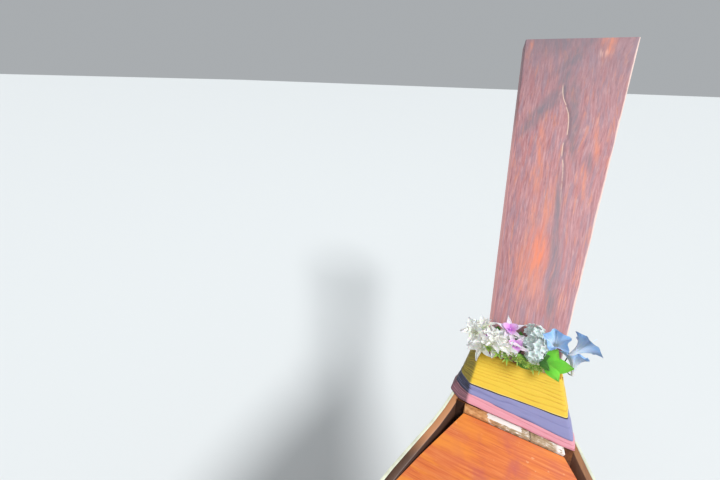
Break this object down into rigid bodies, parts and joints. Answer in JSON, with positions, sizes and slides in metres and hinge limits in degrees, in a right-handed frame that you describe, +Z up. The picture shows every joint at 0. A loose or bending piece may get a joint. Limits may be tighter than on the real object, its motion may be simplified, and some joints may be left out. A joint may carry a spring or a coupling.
{
  "type": "longtail boat",
  "caption": "Planked wooden longtail boat with a tall raked prow board wrapped in sashes and flowers, a canopy, and an engine that swivels and tilts its long propeller shaft.",
  "frame": {"origin": "on the waterline, amidships, on the centreline", "axes": "+X forward along the keel, +Y to port, +Z up from the water"},
  "size_m": [13.9148, 1.9966, 2.5653],
  "materials": {
    "hull_timber": "oiled brown planks",
    "dark_timber": "dark oiled hardwood",
    "deck_timber": "bare worn boards",
    "varnished_timber": "glossy orange varnish",
    "canopy_timber": "satin varnish",
    "prow_timber": "weathered red stain",
    "worn_batten": "worn pale paint",
    "cream_paint": "cream gloss paint",
    "yellow_cloth": "pleated satin",
    "blue_cloth": "pleated satin",
    "pink_cloth": "pleated satin",
    "cloth_flowers": "cloth petals and leaves",
    "canopy_cloth": "coated canvas",
    "red_plastic": "moulded",
    "galvanised_steel": "dull zinc grey",
    "engine_enamel": "blue enamel",
    "cast_alloy": "as cast",
    "rusty_steel": "heat browned",
    "dark_steel": "black",
    "filter_plastic": "black",
    "grip_rubber": "matt",
    "bronze": "polished by sand"
  },
  "bodies": {
    "root": {"garboard_aft_port": "hull_timber", "garboard_aft_starboard": "hull_timber", "garboard_middle_port": "hull_timber", "garboard_middle_starboard": "hull_timber", "garboard_fore_port": "hull_timber", "garboard_fore_starboard": "hull_timber", "bilge_strake_port": "hull_timber", "bilge_strake_starboard": "hull_timber", "side_strake_port": "hull_timber", "side_strake_starboard": "hull_timber", "sheer_strake_port": "hull_timber", "sheer_strake_starboard": "hull_timber", "transom": "hull_timber", "bulkhead": "hull_timber", "keel_aft": "dark_timber", "keel_middle": "dark_timber", "keel_fore": "dark_timber", "stem": "dark_timber", "frames_stern": "dark_timber", "frames_aft": "dark_timber", "frames_middle": "dark_timber", "frames_fore": "dark_timber", "frames_bow": "dark_timber", "foredeck_beams": "dark_timber", "engine_bed": "dark_timber", "floorboards": "deck_timber", "helm_deck": "deck_timber", "foredeck": "varnished_timber", "bench_1": "varnished_timber", "bench_2": "varnished_timber", "bench_3": "varnished_timber", "bench_4": "varnished_timber", "bench_5": "varnished_timber", "canopy_frame_port": "canopy_timber", "canopy_frame_starboard": "canopy_timber", "canopy_bows": "canopy_timber", "prow_board": "prow_timber", "deck_batten": "worn_batten", "gunwale_strip_port": "cream_paint", "gunwale_strip_starboard": "cream_paint", "sash_yellow": "yellow_cloth", "sash_blue": "blue_cloth", "sash_pink": "pink_cloth", "garland": "cloth_flowers", "canopy_cover": "canopy_cloth", "fuel_tank": "red_plastic"},
    "swivel": {"swivel_fork": "galvanised_steel"},
    "engine": {"cradle": "galvanised_steel", "engine_block": "engine_enamel", "rocker_cover": "cast_alloy", "bell_housing": "cast_alloy", "exhaust": "rusty_steel", "air_cleaner": "filter_plastic", "belt_drive": "dark_steel", "tail_tube": "galvanised_steel", "tiller": "galvanised_steel", "tiller_grip": "grip_rubber"},
    "propeller": {"propeller": "bronze"}
  },
  "joints": [
    {"name": "steer", "type": "hinge", "parent": "root", "child": "swivel", "pos_m": [-4.35, 0, 1.05], "axis": [0, 0, 1], "range_deg": [-45, 45]},
    {"name": "tilt", "type": "hinge", "parent": "swivel", "child": "engine", "pos_m": [-4.35, 0, 1.05], "axis": [0, 1, 0], "range_deg": [0, 25]},
    {"name": "propeller_spin", "type": "hinge", "parent": "engine", "child": "propeller", "pos_m": [-8.40879, 0, -0.29232], "axis": [-0.9494, 0, -0.314], "continuous": true}
  ]
}
